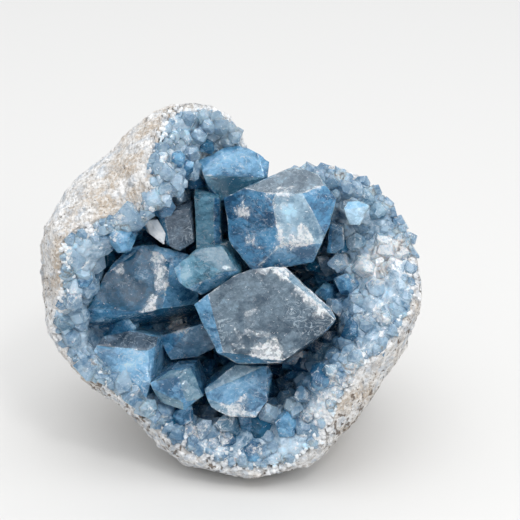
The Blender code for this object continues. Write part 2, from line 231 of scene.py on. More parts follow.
def chance(cells, seed):
    """A number from 0 to 1 for each cell of a lattice, the same each time: its whole numbers, stirred."""
    a, b, c = np.moveaxis(cells.astype(np.int64), -1, 0)
    stir = a * 73856093 ^ b * 19349663 ^ c * 83492791 ^ seed * 2654435761
    stir = (stir ^ (stir >> 13)) * 1274126177 & 0x7FFFFFFF
    stir = (stir ^ (stir >> 15)) * 668265263 & 0x7FFFFFFF
    return stir / 0x7FFFFFFF


def grain(points, size, octaves, seed):
    """Roughness from -1 to 1: chance heights on a lattice, blended smoothly, and again at half the size."""
    total, weight = np.zeros(points.shape[:-1]), 1.0
    for octave in range(octaves):
        place = points / (size / 2**octave) + 31.7 * octave
        low = np.floor(place)
        t = place - low
        t = t * t * (3 - 2 * t)
        for corner in itertools.product((0, 1), repeat=3):
            share = np.prod(np.where(corner, t, 1 - t), axis=-1)
            total += weight * share * (2 * chance(low + corner, seed + octave) - 1)
        weight /= 2
    return total / 1.5


def broken_faces(points, size, seed):
    """A mass of little flat faces: each point takes the level and tilt of the nearest of the chance
    points that are strewn one to a lattice cell.
    """
    place = points / size
    low = np.floor(place)
    nearest, height = np.full(place.shape[:-1], 9.0), np.zeros(place.shape[:-1])
    for corner in itertools.product((-1, 0, 1), repeat=3):
        cell = low + corner
        away = place - cell - np.stack([chance(cell, seed + k) for k in (1, 2, 3)], -1)
        distance = np.linalg.norm(away, axis=-1)
        tilt = np.stack([chance(cell, seed + k) for k in (4, 5, 6)], -1) - 0.5
        level = chance(cell, seed + 7) + np.sum(away * tilt, -1) * 2.2
        closer = distance < nearest
        nearest, height = np.where(closer, distance, nearest), np.where(closer, level, height)
    return height - 0.5


def raised(rows, height):
    """Rows of points moved along the normal that their neighbours give: out of the crust's front, and
    into the rock.
    """
    around = np.roll(rows, -1, 1) - np.roll(rows, 1, 1)
    normal = np.cross(around, np.gradient(rows, axis=0))
    normal /= np.linalg.norm(normal, axis=-1, keepdims=True) + 1e-9
    return rows + normal * height[..., None]


def in_scene(name, data):
    """An object of a name and data, in the scene."""
    thing = bpy.data.objects.new(name, data)
    bpy.context.scene.collection.objects.link(thing)
    return thing


def mesh_piece(name, points, faces, slot, *materials):
    """A closed mesh from points in metres and faces, as a piece that rides on the geode's body."""
    mesh = bpy.data.meshes.new(name)
    mesh.from_pydata(points.tolist(), [], faces)
    mesh.polygons.foreach_set("use_smooth", np.full(len(faces), True))
    for material in materials:
        mesh.materials.append(material)
    mesh.update()
    piece = in_scene(name, mesh)
    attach(piece, "root")
    return piece


def turned_faces(rows, around, order=1):
    """Faces of a closed surface of rows of points with a pole before the first and after the last. An
    order of -1 turns the faces over, for rows that run from the back's middle out to the front.
    """
    k = np.arange(rows * around).reshape(rows, around) + 1
    beside = np.roll(k, -1, 1)
    sides = np.stack([k[:-1], k[1:], beside[1:], beside[:-1]], -1).reshape(-1, 4)
    last = np.full(around, rows * around + 1)
    first_pole = np.stack([0 * last, k[0], beside[0]], -1)
    last_pole = np.stack([k[-1], last, beside[-1]], -1)
    return [face for part in (sides, first_pole, last_pole) for face in part[:, ::order].tolist()]


def closed_points(rows):
    """The points of rows, with a pole in the middle of the first row and one in the last row's."""
    return np.concatenate([rows[:1].mean(1), rows.reshape(-1, 3), rows[-1:].mean(1)])


def write_attribute(piece, name, values):
    """One number for each point of a piece, for its material to read."""
    made = piece.data.attributes.new(name, "FLOAT", "POINT")
    made.data.foreach_set("value", np.asarray(values, np.float32))


def node(tree, kind, inputs=(), **settings):
    """A shader node with its settings, and its inputs as values or as links."""
    made = tree.nodes.new(kind)
    for name, value in settings.items():
        setattr(made, name, value)
    for name, value in dict(inputs).items():
        if isinstance(value, bpy.types.NodeSocket):
            tree.links.new(value, made.inputs[name])
        else:
            made.inputs[name].default_value = value
    return made


def noise(tree, place, size_mm, detail=3.0, distortion=0.0, roughness=0.5):
    """Noise from 0 to 1 with features of about a size."""
    return node(tree, "ShaderNodeTexNoise", {
        "Vector": place, "Scale": 1 / (size_mm * MM), "Detail": detail, "Distortion": distortion,
        "Roughness": roughness}).outputs["Fac"]


def between(tree, value, low, high, to_low=0.0, to_high=1.0):
    """An easy step of value from to_low at low to to_high at high."""
    inputs = {"Value": value, "From Min": low, "From Max": high, "To Min": to_low, "To Max": to_high}
    return node(tree, "ShaderNodeMapRange", inputs, interpolation_type="SMOOTHSTEP").outputs["Result"]


def maths(tree, operation, a, b):
    """One operation on two numbers, at each point."""
    return node(tree, "ShaderNodeMath", {0: a, 1: b}, operation=operation).outputs[0]


def plus(tree, a, b):
    """A sum."""
    return maths(tree, "ADD", a, b)


def less(tree, a, b):
    """A difference."""
    return maths(tree, "SUBTRACT", a, b)


def times(tree, a, b):
    """A product."""
    return maths(tree, "MULTIPLY", a, b)


def attribute(tree, name):
    """An attribute of the mesh."""
    return node(tree, "ShaderNodeAttribute", attribute_name=name).outputs["Fac"]


def blend_colours(tree, share, a, b):
    """Colour a where share is 0 and colour b where it is 1."""
    a, b = (c if isinstance(c, bpy.types.NodeSocket) else (*c, 1.0) for c in (a, b))
    return node(tree, "ShaderNodeMix", {0: share, 6: a, 7: b}, data_type="RGBA").outputs[2]


def new_group(name, **inputs):
    """A node group with its inputs, and where on the object a point is."""
    group = bpy.data.node_groups.new(name, "ShaderNodeTree")
    for label, value in inputs.items():
        kind = "NodeSocketColor" if isinstance(value, tuple) else "NodeSocketFloat"
        group.interface.new_socket(label, in_out="INPUT", socket_type=kind).default_value = value
    given = group.nodes.new("NodeGroupInput").outputs
    return group, given, node(group, "ShaderNodeTexCoord").outputs["Object"]


def finished_group(group, **results):
    """The node group, with a named output for each result."""
    for label in results:
        kind = "NodeSocketColor" if label == "Color" else "NodeSocketFloat"
        group.interface.new_socket(label, in_out="OUTPUT", socket_type=kind)
    made = group.nodes.new("NodeGroupOutput").inputs
    for label, value in results.items():
        group.links.new(value, made[label])
    return group


def new_material(name):
    """A Principled material, its nodes, and its shader's inputs."""
    material = bpy.data.materials.new(name)
    material.use_nodes = True
    return material, material.node_tree, material.node_tree.nodes["Principled BSDF"].inputs


def dress(tree, shader, group, given, depth, strength):
    """Puts a node group's colour, roughness and relief, depth in millimetres, into a shader's inputs."""
    made = node(tree, "ShaderNodeGroup", given, node_tree=group).outputs
    relief = {"Height": made["Height"], "Distance": depth * MM, "Strength": strength}
    bump = node(tree, "ShaderNodeBump", relief).outputs["Normal"]
    for label, value in (("Base Color", made["Color"]), ("Roughness", made["Roughness"]), ("Normal", bump)):
        tree.links.new(value, shader[label])


def gritty_rind():
    """Node group of the rind: grains of white, tan, brown and blue-grey, and their relief."""
    group, given, place = new_group("gritty rind", Tan=0.0, Blue=0.0, Dirt=0.0)
    grit = noise(group, place, 2.4, 6)
    fine = noise(group, place, 0.9, 3)
    crumbs = node(group, "ShaderNodeTexVoronoi", {"Vector": place, "Scale": 1 / (1.8 * MM)})
    patches = between(group, noise(group, place, 11, 5), 0.40, 0.62)
    grains = between(group, grit, 0.38, 0.54)
    colour = blend_colours(group, grains, (0.58, 0.56, 0.54), (0.88, 0.88, 0.88))
    bluish = between(group, noise(group, place, 5, 7, 0.3, 0.7), 0.46, 0.62)
    bluish = times(group, bluish, given["Blue"])
    colour = blend_colours(group, bluish, colour, (0.50, 0.56, 0.63))
    tan = times(group, given["Tan"], plus(group, 0.1, patches))
    colour = blend_colours(group, times(group, tan, 0.45), colour, (0.68, 0.60, 0.51))
    stain = times(group, tan, between(group, noise(group, place, 1.6, 5, 0.0, 0.7), 0.56, 0.46))
    colour = blend_colours(group, times(group, stain, 0.75), colour, (0.50, 0.41, 0.32))
    holes = noise(group, place, 2.6, 3)
    limit = less(group, 0.68, times(group, given["Dirt"], 0.16))
    pits = between(group, less(group, holes, limit), 0.0, 0.06)
    colour = blend_colours(group, times(group, pits, 0.85), colour, (0.16, 0.12, 0.09))
    specks = times(group, between(group, fine, 0.62, 0.68), plus(group, 0.42, tan))
    colour = blend_colours(group, specks, colour, (0.20, 0.18, 0.17))
    height = plus(group, times(group, grit, 1.1), times(group, crumbs.outputs["Distance"], -0.7))
    height = less(group, height, times(group, pits, 0.7))
    height = plus(group, height, times(group, fine, 0.5))
    rough = between(group, grit, 0.3, 0.7, 0.95, 0.75)
    return finished_group(group, Color=colour, Roughness=rough, Height=height)


RIND_GROUP = gritty_rind()


def stone_material(name):
    """The rind's plain Principled material: matt, and rough to the touch."""
    material, tree, shader = new_material(name)
    given = {label: attribute(tree, label.lower()) for label in ("Tan", "Blue", "Dirt")}
    dress(tree, shader, RIND_GROUP, given, 1.2, 1.0)
    shader["Specular IOR Level"].default_value = 0.25
    return material


def rock_rows():
    """Rows round the mouth: the wall under the crust, the broken rim, and the skin to the back. The
    rind's relief begins at the rim.
    """
    angle = steps_round(ROCK_AROUND)
    reach = np.radians(round_mouth(CURL, angle))
    wall = [seat(angle, rise, 0) for rise in np.linspace(0.1, 1, WALL_ROWS)]
    outside = [skin(angle, reach * share) for share in np.linspace(1, 0.004, SKIN_ROWS)]
    shares = np.linspace(0, 1, RIM_ROWS + 2)[1:-1]
    rows = np.array(wall + [wall[-1] + (outside[0] - wall[-1]) * share for share in shares] + outside)
    on_skin = smooth((np.arange(len(rows))[:, None] - WALL_ROWS + 2) / RIM_ROWS)
    height = 1.3 * grain(rows, 13, 4, 1) - 1.8 * np.maximum(grain(rows, 6, 2, 9) - 0.35, 0)
    height += 0.8 * broken_faces(rows, 4.5, 20)
    room = in_room(rows)
    spare = np.concatenate([room[..., :2] - cad_low[:2], cad_high - room], -1).min(-1) / MM
    drawn_in = RELIEF * np.exp(-np.maximum(spare, 0) / RELIEF_FADE)
    return raised(rows, height * on_skin + drawn_in)


rows = rock_rows()
points = closed_points(rows)
rock = mesh_piece("rock", in_room(points), turned_faces(len(rows), ROCK_AROUND), "rock_shell",
                  stone_material("rind"))
behind = smooth((-points[:, 2] - 25) / 20)
tan_behind = 0.8 * behind * (0.7 + grain(points, 60, 2, 3))
write_attribute(rock, "tan", spots(points, TAN_SPOTS) * (1 - behind) + tan_behind)
write_attribute(rock, "dirt", spots(points, DIRT_SPOTS) * (1 - behind) + 0.3 * behind)
write_attribute(rock, "blue", 0.8 * smooth((points[:, 2] + 20) / 30))
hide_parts("rock_shell")


# The crust: a lining of crystals grown side by side, sugary and white where it meets the rock, and
# bluer and larger down the hollow's wall. It grew on the rock, which holds it all over its back.
# Points round the crust, and its rows on the back, on the broken face and on the hollow's wall
CRUST_AROUND = 600
BACK_ROWS, FACE_ROWS, HOLLOW_ROWS = 8, 64, 66
CRYSTAL_IOR = 1.62
# Where crystal is chalky white, with a painted highlight on the tall block's edge facet at u 36 to 39,
# v 27 to 33; and where it is lighter or darker blue, partly its own tone and partly painted light and
# shade: u, v, reach, strength, as seen
CHALK_AND_HIGHLIGHT_SPOTS = (
    (4, 42, 5, 0.9), (27, 51, 7, 0.6), (42, 52, 4, 0.7), (28, 31, 7, 0.7), (36, 27, 4, 0.9),
    (10, 28, 7, 0.6), (-56, 13, 3, 0.8), (-50, 6, 4, 0.7), (-37, 17, 4, 0.9), (-36, 8, 5, 0.9),
    (-40, -5, 4, 0.9), (7, -12, 8, 0.7), (15, -26, 8, 0.9), (21, -30, 5, 0.8), (38, 0, 6, 0.7),
    (46, -9, 6, 0.9), (18, 13, 5, 0.7), (30, 11, 6, 0.8), (-67, -34, 6, 0.9), (-61, -28, 4, 0.5),
    (-49, -48, 5, 0.8), (-28, -14, 6, 1.0), (7, -51, 4, 1.0), (2, -57, 4, 0.9), (-16, -68, 9, 0.8),
    (-5, -79, 9, 0.8), (42, -57, 9, 0.9), (54, -47, 10, 1.0), (14, -74, 6, 0.4), (64, -34, 10, 0.8),
    (82, 24, 9, 1.4), (73, 16, 9, 1.3), (62, 12, 7, 1.0), (59, 29, 5, 0.8), (-77, 1, 5, 0.6),
    (-45, 50, 12, 0.7), (-60, 36, 12, 0.6), (-38, 20, 4, 0.7), (-37, 13, 4, 0.75), (-36, 5, 4, 0.8),
    (-40, -1, 3.5, 0.7), (-41, -7, 4, 0.95), (-56, 12, 3.5, 0.8), (-52, 8, 3, 0.7), (-27, -14, 4, 0.9),
    (0, -58, 6, 0.7), (12, -56, 5, 0.6), (36, 33, 3, 0.8), (39, 28, 3.5, 1.1), (5, 42, 5, 0.95),
    (17, 26, 7, 0.4), (31, 25, 6, 0.5), (-4, 26, 4, 0.5), (26, 46, 6, 0.5), (-30, 70, 8, 0.5),
    (73, -9, 9, 1.0),
)
# Partly the crystals' own tone and partly painted light and shade: positive spots paint light into shadowed
# parts, such as under the left slab, and a glow on the middle gem; negative ones paint shade
TONE_AND_PAINTED_LIGHT_SPOTS = (
    (-11, 66, 8, 0.6), (-3, 70, 8, 0.4), (8, 66, 8, 0.2), (-1, 56, 6, -0.9), (9, 57, 5, -0.6),
    (-53, -33, 9, 0.5), (-56, -21, 6, -0.5), (-24, 11, 5, 1.3), (4, -42, 10, 0.5), (16, -48, 6, -0.4),
    (-2, 38, 9, -0.3), (36, 19, 9, -0.4), (44, 42, 8, -0.1), (10, 60, 6, 0.4), (30, 62, 6, 0.3),
    (62, 40, 5, 0.6), (-30, 3, 7, -0.2), (-60, 0, 9, -0.2), (27, 44, 6, 0.5), (-30, -46, 8, -0.4),
    (45, -20, 12, -1.1), (32, -42, 10, -1.1), (-12, 82, 14, 0.4), (4, -72, 11, -0.85), (-22, -26, 8, 0.5),
    (-20, -68, 10, -0.3), (84, 4, 14, -0.3), (-50, -32, 7, 0.5), (8, -48, 9, 0.35), (19, 38, 5, -0.9),
    (30, 41, 5, 0.6), (38, 29, 4, 0.3), (14, 20, 8, -0.4), (74, 10, 14, 0.5), (-12, 36, 9, 0.2),
    (-46, -15, 7, 0.8), (-62, -16, 7, 0.6), (-30, -17, 7, 0.5),
)


def band(angle, share):
    """The crust's broken face, from the skin's edge (share 0) to the hollow's edge (share 1)."""
    start, end = seat(angle, 1.0, CRUST_GAP), hollow(angle, 1.0)
    points = start + (end - start) * np.asarray(share)[..., None]
    points[..., 2] += BAND_CROWN * np.sin(math.pi * share**0.6)
    return points


def grown_together(points, size, seed):
    """Blunt crystals side by side: each chance point, one to a lattice cell, is the middle of a crystal
    with flat faces in chance directions, and the highest crystal shows. Returns the height from about
    -1 to 0.3, how near a joint between two crystals is, and a number from 0 to 1 for each crystal.
    """
    place = points / size
    low = np.floor(place)
    best = np.full(place.shape[:-1], -9.0)
    second, own = best.copy(), best.copy()
    for corner in itertools.product((-1, 0, 1), repeat=3):
        cell = low + corner
        x, y, z = np.moveaxis(place - cell - np.stack([chance(cell, seed + k) for k in (1, 2, 3)], -1), -1, 0)
        turn, tip = chance(cell, seed + 4) * 2 * math.pi, chance(cell, seed + 5) * 2 * math.pi
        x, y = x * np.cos(turn) - y * np.sin(turn), x * np.sin(turn) + y * np.cos(turn)
        y, z = y * np.cos(tip) - z * np.sin(tip), y * np.sin(tip) + z * np.cos(tip)
        x, y, z = np.abs(x), np.abs(y), np.abs(z)
        far = np.maximum(np.maximum(np.maximum(x, y), z), (x + y + z) / 1.6)
        height = np.minimum(0.6 * chance(cell, seed + 6) - 1.25 * far, 0.1 + 0.3 * x)
        second = np.where(height > best, best, np.maximum(second, height))
        own = np.where(height > best, chance(cell, seed + 7), own)
        best = np.maximum(best, height)
    return best, 1 - smooth((best - second) / 0.16), own


def turned_place(tree, place, turn, stretch):
    """A place turned and stretched, for patterns that run one way."""
    inputs = {"Vector": place, "Rotation": turn, "Scale": stretch}
    return node(tree, "ShaderNodeMapping", inputs).outputs["Vector"]


def flawed_crystal():
    """Node group of crystal: cloudy depths, painted light and shade from its Shade input with a painted
    sky-blue glow where it runs lightest, white veils and scratches, and chalky crumbs on top.
    """
    group, given, place = new_group(
        "flawed crystal", Tint=(0.2, 0.35, 0.5, 1.0), Deep=(0.05, 0.12, 0.22, 1.0), Cloud=0.5, Veils=0.5,
        Chalk=0.3, Scratches=0.3, Roughness=0.15, Shade=0.0)
    flat = turned_place(group, place, (0.5, 0.9, 0.4), (1.0, 0.5, 1.5))
    long = turned_place(group, place, (0.2, 0.7, 1.1), (0.3, 1.6, 1.6))
    panes = node(group, "ShaderNodeTexVoronoi", {"Vector": flat, "Scale": 1 / (12 * MM)},
                 distance="CHEBYCHEV")
    pane = node(group, "ShaderNodeSeparateColor", {"Color": panes.outputs["Color"]}).outputs["Red"]
    cloud = between(group, noise(group, flat, 12, 8, 0.9, 0.62), 0.42, 0.58)
    cloud = plus(group, times(group, cloud, 0.45), times(group, pane, 0.7))
    body = plus(group, times(group, cloud, given["Cloud"]), given["Shade"])
    fleck = between(group, noise(group, flat, 3, 6, 0.5, 0.75), 0.36, 0.64, -0.35, 0.35)
    body = plus(group, body, fleck)
    colour = blend_colours(group, body, given["Deep"], given["Tint"])
    # A painted glow: where the body and the painted light run highest, the colour goes to pale sky blue
    colour = blend_colours(group, between(group, body, 1.0, 1.9), colour, (0.54, 0.80, 0.98))
    bent = noise(group, flat, 6, 6, 1.6)
    veil = between(group, maths(group, "ABSOLUTE", less(group, bent, 0.5), 0), 0.03, 0.0)
    patch = between(group, noise(group, place, 18, 3), 0.46, 0.60)
    veil = times(group, times(group, veil, patch), given["Veils"])
    colour = blend_colours(group, veil, colour, (0.66, 0.78, 0.86))
    scratch = between(group, noise(group, long, 1.4, 4), 0.66, 0.72)
    scratch = times(group, times(group, scratch, given["Scratches"]), patch)
    colour = blend_colours(group, scratch, colour, (0.78, 0.83, 0.87))
    limit = less(group, 0.78, times(group, given["Chalk"], 0.28))
    haze = less(group, noise(group, place, 7, 5, 0.6, 0.6), limit)
    haze = between(group, haze, -0.03, 0.22)
    crumbs = noise(group, place, 1.5, 6, 0.3, 0.75)
    crumbs = between(group, plus(group, crumbs, times(group, haze, 0.17)), 0.62, 0.67)
    crumbs = times(group, crumbs, 0.95)
    chalk = maths(group, "MAXIMUM", times(group, haze, 0.42), crumbs)
    colour = blend_colours(group, chalk, colour, (0.89, 0.91, 0.93))
    rough = plus(group, given["Roughness"], times(group, chalk, 0.5))
    terrace = maths(group, "SNAP", noise(group, flat, 9, 2, 0.4), 0.06)
    height = plus(group, times(group, terrace, 0.9), times(group, bent, 0.25))
    fine = noise(group, place, 1.5, 5, 0.3, 0.65)
    height = plus(group, height, times(group, fine, 0.25))
    height = plus(group, height, times(group, chalk, 0.7))
    height = less(group, height, times(group, scratch, 0.3))
    return finished_group(group, Color=colour, Roughness=rough, Height=height)


CRYSTAL_GROUP = flawed_crystal()


def crystal_material(name, tint, deep, clear=0.4, milky=0.9, cloud=1.0, veils=0.6, chalk=0.3, scratches=0.5,
                     roughness=0.12, gloss=0.25):
    """Celestite with its flaws: clear is the share of light let straight through, milky is how many
    millimetres the rest spreads under the surface, and gloss is the mirror of its cleaved faces.
    """
    material, tree, shader = new_material(name)
    dress(tree, shader, CRYSTAL_GROUP, {
        "Tint": (*tint, 1.0), "Deep": (*deep, 1.0), "Cloud": cloud, "Veils": veils, "Scratches": scratches,
        "Roughness": roughness, "Shade": attribute(tree, "shade"),
        "Chalk": plus(tree, attribute(tree, "chalk"), chalk)}, 0.6, 0.6)
    shader["IOR"].default_value = CRYSTAL_IOR
    shader["Specular IOR Level"].default_value = 0.3
    shader["Transmission Weight"].default_value = clear
    shader["Subsurface Weight"].default_value = 1.0 if milky else 0.0
    shader["Subsurface Radius"].default_value = (0.75, 0.92, 1.0)
    shader["Subsurface Scale"].default_value = milky * MM
    shader["Coat Weight"].default_value = gloss
    shader["Coat IOR"].default_value = CRYSTAL_IOR
    return material


def paint(piece, points, shade=0.0, chalk=0.0):
    """Writes each point's shade, partly the crystal's own tone and partly painted light and shade, and
    its chalk, partly a painted highlight: its own values, and the known spots.
    """
    write_attribute(piece, "shade", shade + spots(points, TONE_AND_PAINTED_LIGHT_SPOTS))
    write_attribute(piece, "chalk", chalk + spots(points, CHALK_AND_HIGHLIGHT_SPOTS))


def crust_rows():
    """Rows round the mouth: the crust's back, its broken face, and the hollow's wall to its floor."""
    angle = steps_round(CRUST_AROUND)
    back = [seat(angle, rise, CRUST_GAP) for rise in np.linspace(0.1, 1, BACK_ROWS)]
    face = [band(angle, share) for share in np.linspace(0, 1, FACE_ROWS + 2)[1:-1]]
    wall = [hollow(angle, rise) for rise in np.linspace(1, 0.02, HOLLOW_ROWS)]
    return np.array(back + face + wall)


# The broken face's rows begin at row 8 and the hollow's at row 72. Crystals stand on both, and the
# small ones are lower further down. It is painted darkest on the floor, a painted shade down the
# hollow, and whitest at the lip and the rind.
rows = crust_rows()
row = np.arange(len(rows))[:, None] + 0.0 * rows[..., 0]
down = smooth((row - 8) / 60)
large, large_joint, large_own = grown_together(rows, 11.0, 40)
small, small_joint, small_own = grown_together(rows, 4.5, 50)
height = 5.5 * (large + 0.35) * smooth((row - 9) / 14) + (2.4 - 0.8 * down) * (small + 0.35)
# Each crystal's own lighter or darker tone, and painted shade that deepens down the hollow to its floor
shade = 0.35 + 0.5 * (large_own - 0.5) + 0.4 * (small_own - 0.5) - 1.4 * smooth((row - 66) / 40)
joint = np.maximum(0.55 * large_joint, 0.4 * small_joint)
lip = np.exp(-((steps_round(CRUST_AROUND) - math.radians(135)) / math.radians(32)) ** 2)
chalk = joint * (1 - smooth((row - 80) / 20)) + 0.7 * lip * (1 - smooth((row - 50) / 20))
chalk += (0.45 + 0.6 * grain(rows, 22, 2, 90)) * (1 - smooth((row - 14) / 26))
rows = raised(rows, height * smooth((row - 7) / 3))
points = closed_points(rows)
crust = mesh_piece("crust", in_room(points), turned_faces(len(rows), CRUST_AROUND, -1), "crystal_crust",
                   crystal_material("sugary crust", (0.48, 0.60, 0.70), (0.11, 0.23, 0.35), clear=0.0,
                                    cloud=0.6, chalk=0.25, roughness=0.22))
paint(crust, points, np.concatenate([[0], shade.ravel(), [-1]]), np.concatenate([[0], chalk.ravel(), [0]]))
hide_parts("crystal_crust")


# The great crystals: clear to milky blue blocks with flat faces, up to about 70 mm across. They
# grew out of the crust and into each other, and stand in it by their roots.
SHARP_EDGE = math.radians(28)
# How finely a great crystal's faces are cut, and how far its edges' wear and chips reach, and the
# whitening near them, partly chalky wear and partly a painted highlight along the edges
FACE_STEP, WEAR_REACH = 1.3, 1.2
# face: corners as seen; height: w of the face's middle; lean: how w changes along u and v;
# root: from the face's middle to the root's middle; spread: the root's size by the face's;
# facets: more faces, each by the way it looks, its tilt, how far out it starts, and its finish. A
# face's finish is partly the crystal's own tone and partly painted light and shade: deep on faces
# turned from the light, mid or pale on lit ones, and grey partly a painted reflection on the faces
# that mirror the room
GREAT_CRYSTALS = {
    "tall_block": dict(
        face=((-6, 48), (21, 60.5), (30.5, 64), (43, 60), (52.5, 47.5), (53, 43.5), (49, 34.5), (45, 19.5),
              (42, 16), (10.5, 8.5), (-3, 24.5)),
        height=30, lean=(0.0, -0.05), root=(3, 5, -50), spread=0.95, finish="pale",
        facets=((92, 58, 11.5, "grey"), (29, 32, 9.5, "deep"), (272, 38, 13, "mid"), (192, 30, 8.5, "deep"),
                (150, 20, 13, "mid"))),
    "grey_slab": dict(
        face=((-19.5, -4.5), (1.5, 10), (10, 13.5), (27, 14.5), (50, -7), (52.5, -12), (48, -18),
              (24, -34), (2, -34.5), (-8, -28.5), (-15, -15)),
        height=33, lean=(0.0, -0.12), root=(3, -7, -55), spread=0.9, finish="grey",
        facets=((50, 24, 21, "pale"), (318, 38, 27, "mid"), (262, 40, 20, "slate"), (195, 24, 23, "mid"))),
    "left_slab": dict(
        face=((-77, -14), (-61, 14.5), (-53, 24), (-39, 26), (-22, 21.5), (-17, 3), (-17, -6), (-45, -9),
              (-73.5, -15)),
        height=9, lean=(-0.22, -0.08), root=(2, -9, -38), spread=0.95, finish="slate",
        facets=((350, 20, 12, "mid"), (128, 24, 15, "mid"), (60, 25, 17, "mid"), (266, 58, 13.5, "deep"))),
    "left_low_fan": dict(
        face=((-66.5, -21), (-53, -18), (-38, -21), (-40, -41.5), (-43, -52), (-53, -53.5), (-65, -41),
              (-71, -32)),
        height=13, lean=(0.0, -0.3), root=(6, 2, -34), spread=0.9, finish="sky",
        facets=((84, 35, 9, "smoke"), (225, 25, 14, "pale"), (5, 30, 12, "mid"))),
    "deep_block": dict(
        face=((-37.5, -21.5), (-26, -17.5), (-12.5, -13.5), (-7.5, -26), (-17.5, -31), (-30.5, -32.5)),
        height=-2, lean=(0.1, 0.2), root=(0, 2, -28), spread=1.0, finish="navy_shade",
        facets=((140, 30, 4, "deep"),)),
    "low_gem": dict(
        face=((-41, -44), (-31, -37.5), (-21, -37), (-15, -51.5), (-24, -58.5), (-37, -54.5)),
        height=23, lean=(0.15, -0.1), root=(3, 3, -34), spread=1.0, finish="mid",
        facets=((18, 32, 3.3, "clear"), (245, 40, 4.7, "clear"), (310, 50, 8, "deep"),
                (100, 30, 6, "clear"))),
    "low_block": dict(
        face=((-14, -47), (1.5, -35.5), (18, -35.5), (20.5, -40), (18, -53), (12, -61.5), (-1, -61.5),
              (-11, -56.5)),
        height=21, lean=(0.05, -0.25), root=(0, 3, -38), spread=0.95, finish="mid",
        facets=((0, 34, 12, "deep"), (115, 24, 8, "pale"), (250, 20, 9, "pale"))),
    "middle_gem": dict(
        face=((-29.5, 13), (-19, 22.5), (-6, 24), (4, 10.5), (-16, -1), (-27, 6.5)),
        height=22, lean=(0.1, 0.0), root=(7, 6, -46), spread=1.0, finish="teal",
        facets=((60, 24, 4.5, "clear"), (294, 42, 5.5, "sky"), (185, 25, 10, "sky"))),
    "grey_prism": dict(
        face=((-37, 38.5), (-29.5, 42), (-21, 43.5), (-19, 26.5), (-26, 21.5), (-33, 25.5)),
        height=6, lean=(-0.1, 0.1), root=(2, 8, -34), spread=1.1, finish="smoke",
        facets=((190, 30, 5, "slate"),)),
    "teal_prism": dict(
        face=((-19, 49.5), (-6, 48.5), (-5, 24.5), (-18, 23)),
        height=3, lean=(0.1, 0.15), root=(0, 9, -34), spread=1.1, finish="teal",
        facets=((0, 25, 3, "deep"),)),
    "pale_chip": dict(
        face=((-43.5, 37), (-37, 37.5), (-33, 30.5), (-34, 25.5), (-37, 27.5), (-41.5, 31)),
        height=17, lean=(0.0, -0.3), root=(-4, 2, -34), spread=1.2, finish="white",
        facets=((50, 30, 1, "white"),)),
    "notch_gem": dict(
        face=((-17, 68.5), (1, 77), (19, 68), (18, 59.5), (14, 57), (-6, 48.5), (-13, 56)),
        height=1, lean=(0.0, -0.2), root=(0, -9, -34), spread=0.9, finish="sky",
        facets=((268, 28, 3, "teal"), (15, 38, 13, "mid"), (120, 25, 9, "mid"))),
    "right_gem": dict(
        face=((56, 43.5), (58, 46.5), (64, 47), (69, 44.5), (64, 35), (58, 35)),
        height=22, lean=(0.0, -0.2), root=(2, 2, -30), spread=1.0, finish="pale",
        facets=((100, 30, 1.5, "sky"),)),
    "right_shade_block": dict(
        face=((49, 36), (56, 35), (56, 24), (51.5, 20.5), (47, 21)),
        height=12, lean=(0.0, 0.2), root=(2, 2, -34), spread=1.1, finish="navy_shade",
        facets=((180, 30, 2, "deep"),)),
}
# Copies of the crystal material from deep to pale blue: partly the crystals' own tones, and partly painted
# light and shade for lit and shaded faces, with grey partly a painted reflection
FINISHES_AND_SHADES = {
    "deep": crystal_material("deep blue crystal", (0.10, 0.34, 0.58), (0.012, 0.08, 0.18), clear=0.25,
                             veils=0.3),
    "mid": crystal_material("mid blue crystal", (0.19, 0.45, 0.69), (0.025, 0.13, 0.26), clear=0.25,
                            veils=0.4),
    "pale": crystal_material("pale crystal", (0.35, 0.51, 0.63), (0.07, 0.19, 0.30), clear=0.2, chalk=0.45),
    "grey": crystal_material("grey frosted crystal", (0.185, 0.265, 0.335), (0.04, 0.085, 0.135), clear=0.2,
                             chalk=0.5, scratches=0.8, roughness=0.2),
    "slate": crystal_material("slate blue crystal", (0.03, 0.17, 0.31), (0.004, 0.07, 0.14), clear=0.1,
                              veils=0.4, chalk=0.15, scratches=0.25, gloss=0.1),
    "sky": crystal_material("sky blue crystal", (0.29, 0.60, 0.86), (0.045, 0.21, 0.38), clear=0.3, veils=0.9,
                            scratches=1.2),
    # Painted shade: a darker copy of the crystal for the blocks that sit in shade in the hollow
    "navy_shade": crystal_material("shaded crystal", (0.11, 0.27, 0.43), (0.015, 0.08, 0.16), clear=0.25),
    "clear": crystal_material("clear crystal", (0.44, 0.71, 0.87), (0.11, 0.33, 0.50), clear=0.6, veils=0.4,
                              chalk=0.15, scratches=0.3, roughness=0.04),
    "smoke": crystal_material("smoky crystal", (0.19, 0.26, 0.34), (0.045, 0.08, 0.125), clear=0.25,
                              chalk=0.3),
    "teal": crystal_material("teal crystal", (0.19, 0.47, 0.64), (0.03, 0.16, 0.26), clear=0.4, chalk=0.2),
    "white": crystal_material("white crystal", (0.85, 0.87, 0.89), (0.60, 0.66, 0.72), clear=0.0, milky=0,
                              chalk=0.7, roughness=0.3),
}


def seen_on_plane(corners, point, normal):
    """The points of a plane that the eye sees at the corners' u and v."""
    sight = np.insert(np.asarray(corners, float), 2, 0, axis=-1) - EYE
    return EYE + sight * ((point - EYE) @ normal / (sight @ normal))[..., None]


